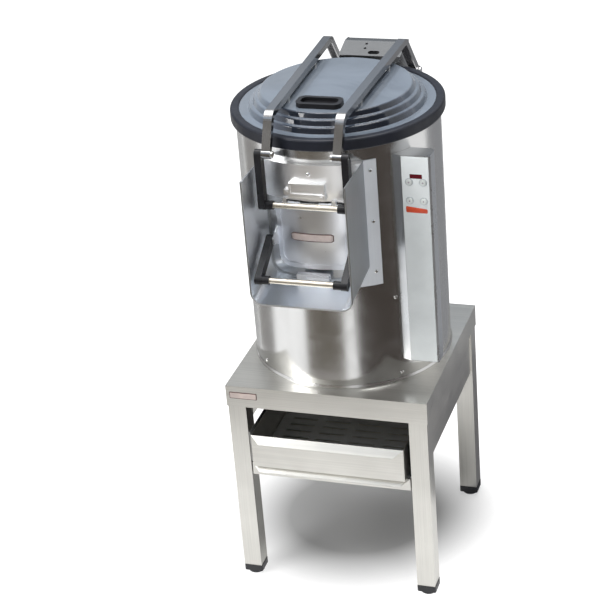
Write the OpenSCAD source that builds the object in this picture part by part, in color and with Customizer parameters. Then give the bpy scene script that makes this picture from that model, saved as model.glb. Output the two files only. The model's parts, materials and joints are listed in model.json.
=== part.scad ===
// Commercial potato peeler on a table with a filter drawer.
// Millimetres, +Z up. The origin is on the floor under the middle of the whole machine:
// left and right it is the table's middle, front and back it is the bowl's axis.

/* [Table] */
// Width of the table top
table_w = 446; // [436:1:500]
// Depth of the table top
table_d = 450; // [440:1:500]
// Height of the table top above the floor
table_h = 490; // [440:1:700]
// Height of the apron folded down round the table top
apron_h = 50; // [30:1:70]
// Thickness of the table's sheet steel
table_sheet = 2; // [1:0.5:3]
// Width of a square leg
leg_w = 40; // [32:1:46]
// Wall of a leg's tube
leg_wall = 2; // [1.5:0.5:4]
// Height of a foot under its leg
foot_h = 24; // [20:1:40]
// Height of the foot's square collar
collar_h = 15; // [8:1:16]
// How far the panels hang below the table top
panel_drop = 150; // [100:1:200]
// How far the bowl stands to the left of the table's middle
bowl_left = 5; // [0:1:8]
// How far the bowl stands behind the table's middle
bowl_back = 20; // [10:1:30]

/* [Drawer] */
// Distance from the table top down to the drawer's rim
drawer_drop = 111; // [90:1:130]
// Height of the drawer
drawer_h = 78; // [50:1:100]
// Depth of the drawer, front to back
drawer_d = 410; // [340:1:415]
// How far the drawer stands out in front of the legs
drawer_proud = 15; // [0:1:20]
// Gap between the drawer's side and its runner
drawer_gap = 9; // [4:0.5:15]
// Thickness of the drawer's sheet steel
drawer_sheet = 1.5; // [1:0.5:2]
// Width of the ledge that carries the filter screen
ledge_w = 14; // [8:1:20]
// Length of the folded lips
lip_l = 20; // [10:1:26]
// Slope of the folded lips
lip_slope = 45; // [20:1:60]
// Height of the catch tray under the drawer
tray_h = 29; // [20:1:50]
// Outer radius of the tray's drain spigot
spigot_r = 25; // [16:0.5:32]
// Length of the drain spigot
spigot_l = 40; // [25:1:60]

/* [Bowl] */
// Outer radius of the body shell
body_r = 215; // [208:0.5:216]
// Wall of the body shell
body_wall = 2; // [1.5:0.5:3]
// Height of the body shell above the table top
body_h = 560; // [550:1:600]
// Outer radius of the base ring
ring_r = 218; // [217:0.5:222]
// Thickness of the abrasive wall liner
liner_t = 5; // [3:0.5:8]
// Distance from the body's upper edge down to the liner's upper edge
liner_drop = 60; // [58:1:110]
// Height of the peeling plate's face above the table top
plate_z = 288; // [284:1:292]
// Thickness of the peeling plate
plate_t = 12; // [8:1:16]
// Gap between the peeling plate and the liner
plate_gap = 4; // [2:0.5:8]
// Number of waves on the peeling plate
wave_count = 4; // [2:1:6]
// Height of the bowl floor above the table top
floor_z = 238; // [232:1:242]
// Outer radius of the waste pipe
waste_r = 32; // [24:1:36]
// How far the waste pipe reaches below the table top
waste_drop = 45; // [20:1:80]

/* [Drive] */
// Radius of the plate shaft
shaft_r = 12.5; // [10:0.5:15]
// Radius of the threaded end that carries the plate
stub_r = 8; // [6:0.5:9]
// Outer radius of a bearing
bearing_r = 26; // [22:1:30]
// Width of a bearing
bearing_w = 15; // [10:1:18]
// Radius of the driven pulley's belt seat
driven_r = 74; // [60:1:80]
// Radius of the motor pulley's belt seat
drive_r = 24; // [18:1:30]
// Width of the drive belt
belt_w = 12; // [8:1:16]
// Thickness of the drive belt
belt_t = 4; // [3:0.5:6]
// Distance from the plate shaft back to the motor shaft
motor_back = 122; // [118:1:130]
// Radius of the motor's body
motor_r = 58; // [50:1:62]
// Length of the motor's body
motor_l = 136; // [100:1:140]
// Number of cooling fins on the motor
fin_count = 20; // [8:1:28]

/* [Lid] */
// Outer radius of the lid's gasket
gasket_r = 225; // [222:0.5:230]
// Height of the gasket
gasket_h = 25.5; // [20:0.5:32]
// Distance from the gasket's outside in to the dome's foot
dome_in = 39; // [30:1:55]
// Distance from the dome's foot in to the rim of its flat top
dome_slope = 34; // [28:1:36]
// Rise of the dome above its flange
dome_rise = 35; // [20:1:40]
// Thickness of the lid's clear plastic
lid_t = 4; // [3:0.5:5]
// Length of the oblong grip
grip_l = 96; // [70:1:110]
// Depth of the oblong grip
grip_d = 46; // [30:1:50]
// Height of the oblong grip
grip_h = 10; // [6:0.5:14]

/* [Lid arms and hinge] */
// Distance from the bowl's middle to an arm's middle at the handle
arm_x = 74; // [72:1:74]
// How much further out an arm stands at the hinge than at the handle
arm_spread = 12; // [8:1:14]
// Width of an arm
arm_w = 18; // [14:1:20]
// Depth of an arm's channel
arm_t = 14; // [10:1:16]
// Height of the arms' long run above the body's upper edge
arm_rise = 61; // [60:1:80]
// Distance from the bowl's axis back to the hinge pin
hinge_y = 308; // [300:1:312]
// Distance from the body's upper edge down to the hinge pin
hinge_drop = 38; // [34:1:42]
// Distance from the bowl's middle to the outside of the hinge bracket
cheek_x = 70; // [60:1:72]
// Radius of the hinge pin
hinge_r = 6; // [4:0.5:8]
// Distance from the bowl's axis to the bracket's back
bracket_back = 324; // [322:1:340]

/* [Chute and door] */
// Outer width of the chute
chute_w = 214; // [206:1:216]
// Distance from the bowl's axis to the chute's front edge
chute_front = 324; // [300:1:340]
// Distance from the body's upper edge down to the chute's top edge
chute_drop = 41; // [38:1:45]
// Height of the chute's lip above the table top
chute_lip = 248; // [235:1:252]
// Slope of the chute's floor
chute_slope = 6; // [4:0.5:9]
// Radius of the chute's lower corners
chute_r = 25; // [15:1:35]
// Sheet of the chute and guard
chute_sheet = 1.5; // [1:0.5:2]
// Width of the wall flanges
flange_w = 23; // [14:1:24]
// Width of the door
door_w = 160; // [150:1:162]
// Height of the door's lower edge above the table top
door_low = 285; // [284:1:290]
// Height of the door hinge pin above the table top
door_pin_z = 434; // [430:1:436]
// Width of the raised frame round the door
door_frame = 10; // [6:1:14]
// Overlap of the door over its window
door_lap = 13; // [8:1:16]
// Radius of the door hinge pin
door_pin_r = 2.5; // [2:0.5:3.5]

/* [Handles] */
// Outer width of both U-handles
handle_w = 196; // [190:1:197]
// Width of a handle's black arm
handle_arm = 14; // [10:1:14]
// Depth of a handle's black arm
handle_d = 20; // [16:1:22]
// Radius of a handle's steel bar
bar_r = 6; // [5:0.5:7]
// Length of a black corner on the bar
corner_l = 30; // [24:1:40]
// Drop from the lid handle's pivot to its bar
lid_handle_l = 111; // [100:1:116]

/* [Control column] */
// Height of the column's foot above the table top
column_low = 50; // [40:1:120]
// Distance from the body's upper edge down to the column's top
column_drop = 40; // [30:1:60]
// Right face of the column from the bowl's axis
column_right = 235; // [230:1:240]
// Front face of the column from the bowl's axis
column_front = 154; // [150:1:158]
// Sheet of the column
column_sheet = 1.5; // [1:0.5:2]
// Radius of a button
button_r = 6.3; // [5:0.1:7]
// Sideways spacing of the buttons
button_dx = 29; // [24:1:32]
// Upright spacing of the buttons
button_dz = 41; // [30:1:60]

/* [Fits] */
// Gap between pieces of the same body
seat_gap = 0.2; // [0.1:0.05:0.3]
// Radial clearance of a turning pin or shaft
run_gap = 0.05; // [0.02:0.01:0.09]
// Gap between pieces that move past each other
move_gap = 0.3; // [0.3:0.05:0.5]

/* [Hidden] */
$fn = 96;
bite = 1;                                    // how far a cutting shape passes through a face
table_y = -bowl_back;                        // middle of the table, front to back
leg_x = table_w / 2 - table_sheet - leg_w / 2;
leg_y = table_d / 2 - table_sheet - leg_w / 2;
leg_in = leg_x - leg_w / 2;                  // inner face of the legs
panel_inset = 3;                             // side panels, from the apron's inner face
panel_sheet = 1.5;
front_y = table_y - table_d / 2 + table_sheet;
back_in = table_y + table_d / 2 - table_sheet - panel_inset;  // outer face of the back panel
drawer_y = front_y - drawer_proud;
runner_t = 1.5;
shelf_w = 22;
drawer_w = 2 * (leg_in - runner_t - drawer_gap);
drawer_top = table_h - drawer_drop;
drawer_low = drawer_top - drawer_h;
shelf_z = drawer_low - move_gap;             // upper face of the runners' shelves
tray_top = shelf_z - runner_t;
tray_w = 2 * (leg_in - 3);
spigot_y = 100;
body_in = body_r - body_wall;
liner_top = body_h - liner_drop;
ring_t = 3;
ring_in = body_in - 15;
waste_x = -130;
waste_y = -90;
waste_wall = 2;
floor_t = 3;
plate_low = plate_z - plate_t;
plate_r = body_in - liner_t - plate_gap;
seal_r = 24;
housing_r = 38;
housing_low = 95;
housing_top = floor_z - floor_t;
pulley_low = 38;
pulley_h = 26;
belt_z = pulley_low + pulley_h / 2 - belt_w / 2;
pulley_flange = 3;
bracket_z = 80;                              // upper face of the motor bracket
bracket_t = 4;
motor_boss = 30;
gasket_top = body_h + 12.5;
lid_z = body_h + 6;                          // underside of the lid's flange
lid_edge_r = gasket_r - 15;
dome_r = gasket_r - dome_in;
dome_top_r = dome_r - dome_slope;
dome_z = lid_z + lid_t + dome_rise;          // upper face of the dome's flat top
arm_z = body_h + arm_rise;
hinge_z = body_h - hinge_drop;
pivot_y = -gasket_r - 27;                    // lid handle's pivot
pivot_z = body_h - 10;
bolt_r = 4;
lid_bar = [pivot_y, pivot_z - lid_handle_l]; // lid handle's bar, y and z
catch_z = lid_bar.y + 13;                    // lower edge of the lid catch
arm_path = [[pivot_y, pivot_z], [9 - gasket_r, arm_z], [gasket_r, arm_z], [hinge_y, hinge_z]];
arm_bend = 22;
arm_wall = 2;
arm_lean = atan2(arm_spread, hinge_y - pivot_y);
eye_w = arm_w + 1;                           // width of an arm's eyes
rear_x = arm_x + arm_spread;                 // middle of an arm's rear eye
chute_top = body_h - chute_drop;
chute_in = chute_w / 2 - chute_sheet;
flange_r = body_r + seat_gap;
guard_r = body_r + 13;
guard_low = door_pin_z + 8;
door_r = body_r + 3;                         // inner face of the door
door_t = 2.5;
door_high = door_pin_z - 3;
door_pin_y = -(door_r + door_t + 5);
window_w = door_w - 2 * door_lap;
window_low = door_low + door_lap;
window_high = door_high - door_lap;
window_mid = (window_low + window_high) / 2;
knuckle_r = 5;
door_pivot = [-228, 350];                    // door handle's pivot, y and z
door_bar = [-(chute_front - handle_d / 2), 300];
ear_x = 82.5;
column_left = 156;
column_top = body_h - column_drop;
panel_t = 1.2;
panel_left = 175;
panel_right = column_right - 1.5;
display_z = column_top - 44;
display_h = 9.5;
button_z = column_top - 56.5;
column_mid = (panel_left + panel_right) / 2;
board_y = 11 - column_front;                 // front face of the control board
board_low = column_top - 140;
board_high = column_top - 23;
inlet_x = -134;
inlet_z = body_h - 45;
inlet_r = 10;
oval_at = [7, 258];                          // middle of the bracket's oval hole
gland_x = 60;
gland_z = 60;
gland_r = 10;
cord_r = 6.5;                                // bore that clamps the cord

// ---------- helpers ----------

// Puts a piece at the bowl: x from its axis, z from the table top
module at_bowl() translate([-bowl_left, 0, table_h]) children();

// Box between its lowest and highest corners
module block(low, high) translate(low) cube(high - low);

// Tube standing on z = 0
module tube(r_out, r_in, h) difference() {
    cylinder(r = r_out, h = h);
    translate([0, 0, -bite]) cylinder(r = r_in, h = h + 2 * bite);
}

// Rectangle with round corners, centred
module round_rect(w, h, r) {
    square([w - 2 * r, h], center = true);
    square([w, h - 2 * r], center = true);
    for (x = [-1, 1], y = [-1, 1])
        translate([x * (w / 2 - r), y * (h / 2 - r)]) circle(r = r);
}

// Outline drawn as y and z, reaching from x0 to x1
module across(x0, x1) translate([x0, 0, 0]) rotate([90, 0, 90]) linear_extrude(x1 - x0) children();

// Outline drawn as x and z, reaching from y0 to y1
module along(y0, y1) translate([0, y1, 0]) rotate([90, 0, 0]) linear_extrude(y1 - y0) children();

// Round bar along x
module bar_x(y, z, r, x0, x1) across(x0, x1) translate([y, z]) circle(r = r);

// Round bar along y
module bar_y(x, z, r, y0, y1) along(y0, y1) translate([x, z]) circle(r = r);

// Both sides, mirrored about the bowl's middle
module both_sides() for (s = [0, 1]) mirror([s, 0, 0]) children();

// Curved sheet at radius r on the body's front, cut to an outline drawn as x and z
module front_sheet(r, t) intersection() {
    tube(r + t, r, body_h);
    along(-r - t - bite, 0) children();
}

// Screw head on the body, at an angle to the right of the front
module screw_head(angle, r, z) rotate([0, 0, angle]) translate([0, -r, z]) rotate([90, 0, 0]) {
    cylinder(r = 4, h = 1.2, $fn = 24);
    translate([0, 0, 1.2]) cylinder(r1 = 4, r2 = 2.4, h = 1.2, $fn = 24);
}

function unit(v) = v / norm(v);
function spin(v, a) = [v.x * cos(a) - v.y * sin(a), v.x * sin(a) + v.y * cos(a)];
function turn(p, i) = let (u = unit(p[i] - p[i - 1]), v = unit(p[i + 1] - p[i]))
    atan2(u.x * v.y - u.y * v.x, u.x * v.x + u.y * v.y);
function backwards(v) = [for (i = [len(v) - 1:-1:0]) v[i]];

// Points of a path with its corners bent to radius r, moved sideways by side
function bent(p, r, side, steps = 8) = [
    for (i = [0:len(p) - 1])
        let (is_end = i == 0 || i == len(p) - 1,
             u = unit(i == 0 ? p[1] - p[0] : p[i] - p[i - 1]),
             n = [-u.y, u.x],
             a = is_end ? 0 : turn(p, i),
             s = a < 0 ? -1 : 1,
             c = p[i] - u * r * tan(abs(a) / 2) + n * s * r)
        for (k = [0:is_end ? 0 : steps])
            is_end ? p[i] + n * side : c + (side - s * r) * spin(n, a * k / steps)
];

// Strip along a bent path, between two sideways distances
module strip(p, r, a, b) polygon(concat(bent(p, r, a), backwards(bent(p, r, b))));

// Tapered lip folded forward and down from an edge at y and z
module folded_lip(w, y, z) translate([0, y, z]) rotate([lip_slope, 0, 0])
    translate([0, 0, -drawer_sheet]) linear_extrude(drawer_sheet)
        polygon([[-w / 2, 0], [w / 2, 0], [w / 2 - lip_l, -lip_l], [lip_l - w / 2, -lip_l]]);

// ---------- table ----------

module table_top() color("#b4b0a6") difference() {
    translate([0, table_y, 0])
        block([-table_w / 2, -table_d / 2, table_h - apron_h], [table_w / 2, table_d / 2, table_h]);
    translate([0, table_y, 0])
        block([table_sheet - table_w / 2, table_sheet - table_d / 2, table_h - apron_h - bite],
              [table_w / 2 - table_sheet, table_d / 2 - table_sheet, table_h - table_sheet]);
    at_bowl() translate([waste_x, waste_y, -table_sheet - bite])
        cylinder(r = waste_r + bite, h = table_sheet + 2 * bite);
}

module leg(sx, sy) color("#b9b6ad") translate([sx * leg_x, table_y + sy * leg_y, foot_h])
    difference() {
        linear_extrude(table_h - table_sheet - foot_h) square(leg_w, center = true);
        translate([0, 0, -bite]) linear_extrude(table_h - foot_h)
            square(leg_w - 2 * leg_wall, center = true);
    }

module foot() {
    base_r = leg_w / 2 - 2;
    spigot_h = 18;
    cylinder(r1 = base_r - 2, r2 = base_r, h = 2);
    translate([0, 0, 2]) cylinder(r = base_r, h = foot_h - collar_h - 2);
    translate([0, 0, foot_h - collar_h]) linear_extrude(collar_h)
        round_rect(leg_w + 2, leg_w + 2, 4);
    translate([0, 0, foot_h]) linear_extrude(spigot_h)
        square(leg_w - 2 * leg_wall - 2 * seat_gap, center = true);
}

module feet() color("#1c1c1e") for (sx = [-1, 1], sy = [-1, 1])
    translate([sx * leg_x, table_y + sy * leg_y, 0]) foot();

module side_panel(side) color("#a9a7a1") {
    face = table_w / 2 - table_sheet - panel_inset;
    x = side > 0 ? face - panel_sheet : -face;
    block([x, table_y - leg_y + leg_w / 2, table_h - panel_drop],
          [x + panel_sheet, table_y + leg_y - leg_w / 2, table_h - table_sheet]);
}

module back_panel() color("#a9a7a1") {
    block([-leg_in, back_in - panel_sheet, table_h - panel_drop],
          [leg_in, back_in, table_h - table_sheet]);
}

module drawer_runners() color("#8d8b86") both_sides() {
    y0 = front_y + 6;
    y1 = back_in - panel_sheet - 0.5;
    block([leg_in - runner_t, y0, tray_top], [leg_in, y1, drawer_top - 6]);
    block([leg_in - shelf_w, y0, tray_top], [leg_in, y1, shelf_z]);
}

module catch_tray() color("#b2afa7") {
    low = tray_top - tray_h;
    back = front_y + drawer_d;
    difference() {
        block([-tray_w / 2, front_y, low], [tray_w / 2, back, tray_top]);
        block([drawer_sheet - tray_w / 2, front_y + drawer_sheet, low + drawer_sheet],
              [tray_w / 2 - drawer_sheet, back - drawer_sheet, tray_top + bite]);
        translate([0, spigot_y, low - bite]) cylinder(r = spigot_r - 2, h = 3 * bite + 2);
    }
    folded_lip(tray_w, front_y, tray_top);
    translate([0, spigot_y, low - spigot_l]) tube(spigot_r, spigot_r - 2, spigot_l);
}

module filter_drawer() color("#c2bfb6") {
    back = drawer_y + drawer_d;
    difference() {
        block([-drawer_w / 2, drawer_y, drawer_low], [drawer_w / 2, back, drawer_top]);
        block([drawer_sheet - drawer_w / 2, drawer_y + drawer_sheet, drawer_low + drawer_sheet],
              [drawer_w / 2 - drawer_sheet, back - drawer_sheet, drawer_top + bite]);
        block([ledge_w - drawer_w / 2, drawer_y + ledge_w, drawer_low - bite],
              [drawer_w / 2 - ledge_w, back - ledge_w, drawer_low + drawer_sheet + bite]);
    }
    folded_lip(drawer_w, drawer_y, drawer_top);
}

module filter_screen() color("#8f8e8a") {
    slot_w = 7;
    pitch = 26;
    gap = 2;
    w = drawer_w - 2 * drawer_sheet - 2 * gap;
    d = drawer_d - 2 * drawer_sheet - 2 * gap;
    cols = 4;
    rows = floor((d - 2 * ledge_w - pitch) / pitch);
    slot_l = (w - 2 * ledge_w) / cols - 16;
    translate([0, drawer_y + drawer_d / 2, drawer_low + drawer_sheet]) linear_extrude(1.5)
        difference() {
            square([w, d], center = true);
            for (i = [0:cols - 1], j = [0:rows - 1])
                translate([(i - (cols - 1) / 2) * (slot_l + 16), (j - (rows - 1) / 2) * pitch]) {
                    square([slot_l - slot_w, slot_w], center = true);
                    for (s = [-1, 1])
                        translate([s * (slot_l - slot_w) / 2, 0]) circle(d = slot_w, $fn = 24);
                }
        }
}

// ---------- body ----------

module base_ring() color("#bdbab3") at_bowl() {
    in_r = body_in - seat_gap;
    rotate_extrude() polygon([[ring_in, 0], [ring_r, 0], [ring_r, 2.5], [flange_r, 7],
        [flange_r, ring_t], [in_r, ring_t], [in_r, 30], [in_r - 2, 30], [in_r - 2, ring_t],
        [ring_in, ring_t]]);
}

module window_outline(grow) translate([0, window_mid])
    round_rect(window_w + 2 * grow, window_high - window_low + 2 * grow, 12 + grow);

module body_shell() color("#c9c7c1") at_bowl() difference() {
    translate([0, 0, ring_t]) tube(body_r, body_in, body_h - ring_t);
    along(-body_r - bite, -body_r / 2) window_outline(0);
    bar_y(inlet_x, inlet_z, inlet_r + seat_gap, 100, body_r);
    bar_y(gland_x, gland_z, gland_r + seat_gap, 100, body_r);
}

module bowl_floor() color("#aaa8a2") at_bowl() difference() {
    rim_r = body_in - seat_gap;
    rotate_extrude() polygon([[seal_r, floor_z - floor_t], [rim_r, floor_z - floor_t],
        [rim_r, floor_z + 22], [rim_r - floor_t, floor_z + 22], [rim_r - floor_t, floor_z],
        [seal_r, floor_z]]);
    translate([waste_x, waste_y, floor_z - floor_t - bite])
        cylinder(r = waste_r - waste_wall, h = floor_t + 2 * bite);
}

module abrasive_liner() color("#5b564e") at_bowl() difference() {
    low = floor_z + 24;
    liner_r = body_in - seat_gap;
    translate([0, 0, low]) tube(liner_r, liner_r - liner_t, liner_top - low);
    along(-body_r, -body_r / 2) window_outline(3);
}

module waste_pipe() color("#9a9892") at_bowl() translate([waste_x, waste_y, 0]) {
    top = floor_z - floor_t;
    translate([0, 0, -waste_drop]) tube(waste_r, waste_r - waste_wall, top + waste_drop);
    translate([0, 0, top - 3]) tube(waste_r + 8, waste_r - bite, 3);
}

module body_screws() color("#d8d7d3") at_bowl() {
    angle = asin((chute_in + flange_w / 2) / flange_r);
    for (s = [-1, 1], z = [chute_lip + 22, (chute_lip + chute_top) / 2, chute_top - 23])
        screw_head(s * angle, flange_r + chute_sheet + 0.1, z);
    for (i = [0:3]) screw_head(45 + 90 * i, body_r + 0.1, 18);
    screw_head(43.5, body_r + 0.1, 200);
    screw_head(0.7, guard_r + chute_sheet + 0.1, chute_top - 18);
}

// ---------- drive ----------

module bearing_housing() color("#6f7378") at_bowl() {
    bore = bearing_r + seat_gap / 2;
    rotate_extrude() polygon([[20, housing_low + bearing_w], [bore, housing_low + bearing_w],
        [bore, housing_low], [housing_r, housing_low], [housing_r, housing_top - 8],
        [housing_r + 24, housing_top - 8], [housing_r + 24, housing_top], [bore, housing_top],
        [bore, housing_top - bearing_w], [20, housing_top - bearing_w]]);
    for (k = [0:3]) rotate([0, 0, 45 + 90 * k]) across(-3, 3)
        polygon([[housing_r - 1, housing_top - 8], [housing_r + 20, housing_top - 8],
            [housing_r - 1, housing_top - 60]]);
}

module bearings() color("#b9bcc0") at_bowl()
    for (z = [housing_low, housing_top - bearing_w]) translate([0, 0, z])
        tube(bearing_r, shaft_r + run_gap, bearing_w);

module shaft_seal() color("#202022") at_bowl() translate([0, 0, housing_top])
    tube(seal_r - seat_gap, shaft_r + run_gap, floor_t + 3);

module plate_shaft() color("#c4c6c8") at_bowl() {
    translate([0, 0, pulley_low - 2]) cylinder(r = shaft_r, h = plate_low - pulley_low + 2);
    translate([0, 0, plate_low]) cylinder(r = stub_r, h = plate_t + 12);
}

module plate_nut() color("#cfd0d2") at_bowl() translate([0, 0, plate_z]) difference() {
    union() {
        cylinder(r = 15, h = 8, $fn = 6);
        translate([0, 0, 8]) intersection() {
            sphere(r = 12);
            cylinder(r = 13, h = 13);
        }
    }
    translate([0, 0, -bite]) cylinder(r = stub_r + run_gap, h = 12.2 + bite);
}

// Rounded wave that throws the potatoes outwards
module plate_wave() intersection() {
    translate([30, 0, plate_z - 6]) rotate([0, 90, 0])
        cylinder(r1 = 12, r2 = 20, h = plate_r - 34);
    translate([0, 0, plate_low]) cylinder(r = plate_r - 2, h = 60);
}

module peeling_plate() color("#4d4841") at_bowl() difference() {
    vane_t = 5;
    union() {
        translate([0, 0, plate_low]) cylinder(r = plate_r, h = plate_t);
        for (k = [0:wave_count - 1]) rotate([0, 0, k * 360 / wave_count]) plate_wave();
        for (k = [0:2]) rotate([0, 0, 30 + k * 120])
            block([50, -vane_t / 2, floor_z + 5], [plate_r - 10, vane_t / 2, plate_low + 1]);
    }
    translate([0, 0, plate_low - bite]) cylinder(r = stub_r + run_gap, h = plate_t + 2 * bite);
}

// Rim profile of a belt pulley, from the bore outwards
function pulley_points(bore, hub, web_in, seat) = [[bore, 0], [hub, 0], [hub, 8], [web_in, 8],
    [web_in, 2], [seat + pulley_flange, 2], [seat + pulley_flange, 4], [seat, 6.5],
    [seat, pulley_h - 6.5], [seat + pulley_flange, pulley_h - 4],
    [seat + pulley_flange, pulley_h - 2], [web_in, pulley_h - 2], [web_in, pulley_h - 8],
    [hub, pulley_h - 8], [hub, pulley_h], [bore, pulley_h]];

module driven_pulley() color("#7b7e82") at_bowl() translate([0, 0, pulley_low]) difference() {
    rotate_extrude() polygon(pulley_points(shaft_r + run_gap, 24, driven_r - 10, driven_r));
    for (k = [0:4]) rotate([0, 0, k * 72]) translate([(driven_r + 14) / 2, 0, 0])
        cylinder(r = 12, h = pulley_h);
}

module motor_pulley() color("#7b7e82") at_bowl() translate([0, motor_back, pulley_low])
    rotate_extrude() polygon([[8 + run_gap, 0], [drive_r + pulley_flange, 0],
        [drive_r + pulley_flange, 4], [drive_r, 6.5], [drive_r, pulley_h - 6.5],
        [drive_r + pulley_flange, pulley_h - 4], [drive_r + pulley_flange, pulley_h],
        [8 + run_gap, pulley_h]]);

module motor_shaft() color("#c4c6c8") at_bowl() translate([0, motor_back, pulley_low - 2])
    cylinder(r = 8, h = bracket_z - pulley_low + 30);

// Loop round both pulleys at a distance from their seats
function loop_points(grow) = let (ra = driven_r + grow, rb = drive_r + grow,
    tilt = asin((ra - rb) / motor_back)) concat(
    [for (k = [0:36]) let (a = 180 - tilt + k * (180 + 2 * tilt) / 36) [ra * cos(a), ra * sin(a)]],
    [for (k = [0:14]) let (a = tilt + k * (180 - 2 * tilt) / 14)
        [rb * cos(a), motor_back + rb * sin(a)]]);

module drive_belt() color("#1b1b1c") at_bowl() translate([0, 0, belt_z]) linear_extrude(belt_w)
    difference() {
        polygon(loop_points(move_gap + belt_t));
        polygon(loop_points(move_gap));
    }

module motor() color("#5a6672") at_bowl() translate([0, motor_back, 0]) difference() {
    union() {
        translate([0, 0, bracket_z - bracket_t]) cylinder(r = motor_boss, h = bracket_t + bite);
        translate([0, 0, bracket_z]) cylinder(r = motor_r, h = motor_l);
        translate([0, 0, bracket_z]) cylinder(r = motor_r + 4, h = 10);
        translate([0, 0, bracket_z + motor_l - 16]) cylinder(r = motor_r + 4, h = 12);
        for (k = [0:fin_count - 1]) rotate([0, 0, (k + 0.5) * 360 / fin_count])
            block([motor_r - 2, -1.5, bracket_z + 14], [motor_r + 5, 1.5, bracket_z + motor_l - 20]);
        block([motor_r - 6, -20, bracket_z + 45], [motor_r + 22, 20, bracket_z + 95]);
    }
    translate([0, 0, bracket_z - bracket_t - bite]) cylinder(r = 8 + run_gap, h = 40);
}

module motor_bracket() color("#84868a") at_bowl() difference() {
    edge_r = body_in - seat_gap;
    front = 66;
    intersection() {
        union() {
            translate([0, 0, bracket_z - bracket_t]) cylinder(r = edge_r, h = bracket_t);
            translate([0, 0, bracket_z - bracket_t]) tube(edge_r, edge_r - 3, 26);
        }
        block([-body_r, front, 0], [body_r, body_r, body_h]);
    }
    translate([0, motor_back, bracket_z - bracket_t - bite])
        cylinder(r = motor_boss + seat_gap, h = bracket_t + 2 * bite);
}

// ---------- chute, guard and door ----------

// Trough outline: flat floor, round corners, upright walls
module trough(w, r, low) {
    top = chute_top - chute_lip + 80;
    translate([-w / 2, low + r]) square([w, top - low - r]);
    translate([r - w / 2, low]) square([w - 2 * r, r]);
    for (s = [-1, 1]) translate([s * (w / 2 - r), low + r]) circle(r = r);
}

// Trough run along the sloping floor
module trough_run(w, r, low) translate([0, -chute_front, chute_lip]) rotate([chute_slope, 0, 0])
    along(-60, 220) trough(w, r, low);

module chute_hollow() trough_run(chute_w - 2 * chute_sheet, chute_r - chute_sheet, chute_sheet);

module chute() color("#cfcdc7") at_bowl() difference() {
    hem = 2;
    hem_l = 5;
    flange_low = chute_lip - 9;
    union() {
        intersection() {
            trough_run(chute_w, chute_r, 0);
            block([-chute_w, -chute_front, 0], [chute_w, 0, chute_top]);
        }
        intersection() {
            trough_run(chute_w + 2 * hem, chute_r + hem, -hem);
            block([-chute_w, -chute_front, 0], [chute_w, hem_l - chute_front, chute_top]);
        }
        intersection() {
            translate([0, 0, flange_low])
                tube(flange_r + chute_sheet, flange_r - 5, chute_top - flange_low);
            block([-chute_in - flange_w, -body_r - 5, 0], [chute_in + flange_w, 0, body_h]);
        }
    }
    chute_hollow();
    cylinder(r = flange_r, h = body_h);
}

module guard_plate() color("#d3d1cc") at_bowl() {
    half = chute_in - seat_gap;
    guard_high = chute_top + 1;
    difference() {
        union() {
            intersection() {
                union() {
                    translate([0, 0, guard_low])
                        tube(guard_r + chute_sheet, guard_r, guard_high - guard_low);
                    translate([0, 0, guard_high - chute_sheet])
                        tube(guard_r + chute_sheet, flange_r, chute_sheet);
                }
                block([-half, -guard_r - 5, 0], [half, 0, body_h]);
            }
            both_sides() block([48, door_pin_y - 5, door_pin_z - 6], [56, door_pin_y + 5, guard_low + 4]);
        }
        bar_x(door_pin_y, door_pin_z, door_pin_r + run_gap, -60, 60);
    }
}

module lid_catch() color("#aeb0b2") at_bowl() {
    face = guard_r + 12.5;
    translate([0, 0, catch_z]) difference() {
        union() {
            block([-38, -face, 0], [37, -guard_r + 6, 32]);
            block([-50, -guard_r - 8, 5], [-37, -guard_r + 6, 15]);
            block([23, -face - 1.5, -2], [38.5, -guard_r + 6, 9]);
            bar_y(-44, 10, 3, -guard_r - 10, -guard_r - 5.9);
            bar_y(30.7, 3.5, 3, -face - 3, -face);
        }
        translate([0, 0, -catch_z]) cylinder(r = guard_r + chute_sheet + seat_gap / 2, h = body_h);
        block([-34.5, -face - 2, 9], [33.5, 3 - face, 28]);
    }
}

module door_catch() color("#9c9ea0") at_bowl() difference() {
    intersection() {
        block([-35, -243, chute_lip], [35, -230, 281]);
        chute_hollow();
    }
    block([-16, -243 - bite, 270], [16, -238, 278]);
}

module door() color("#cdcbc6") at_bowl() difference() {
    frame_r = door_r + door_t;
    union() {
        front_sheet(door_r, door_t) window_outline(door_lap);
        front_sheet(frame_r - 0.1, 2.1) difference() {
            window_outline(door_lap);
            window_outline(door_lap - door_frame);
        }
        front_sheet(frame_r - 0.1, 1.1) window_outline(door_lap - door_frame - 5);
        both_sides() {
            bar_x(door_pin_y, door_pin_z, knuckle_r, 20, 46);
            block([20, door_pin_y, door_pin_z - 10], [46, door_pin_y + 11, door_pin_z]);
            across(ear_x - 3, ear_x) polygon([[-204, 374], [-204, 328], [-222, 338], [-238, 342],
                [-238, 358], [-222, 364]]);
            bar_x(door_pivot.x, door_pivot.y, bolt_r, ear_x - 1, handle_w / 2 - 1);
        }
    }
    bar_x(door_pin_y, door_pin_z, door_pin_r + run_gap, -60, 60);
    intersection() {
        cylinder(r = door_r, h = body_h);
        block([-60, -door_r, door_pin_z - 20], [60, 0, door_pin_z + 10]);
    }
}

module door_seal() color("#2c2c2e") at_bowl()
    front_sheet(body_r + 0.4, door_r - body_r - 0.4 - seat_gap) difference() {
        window_outline(door_lap - 3);
        window_outline(3);
    }

module door_hinge_pin() color("#c9cacc") at_bowl() bar_x(door_pin_y, door_pin_z, door_pin_r, -58, 58);

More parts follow.
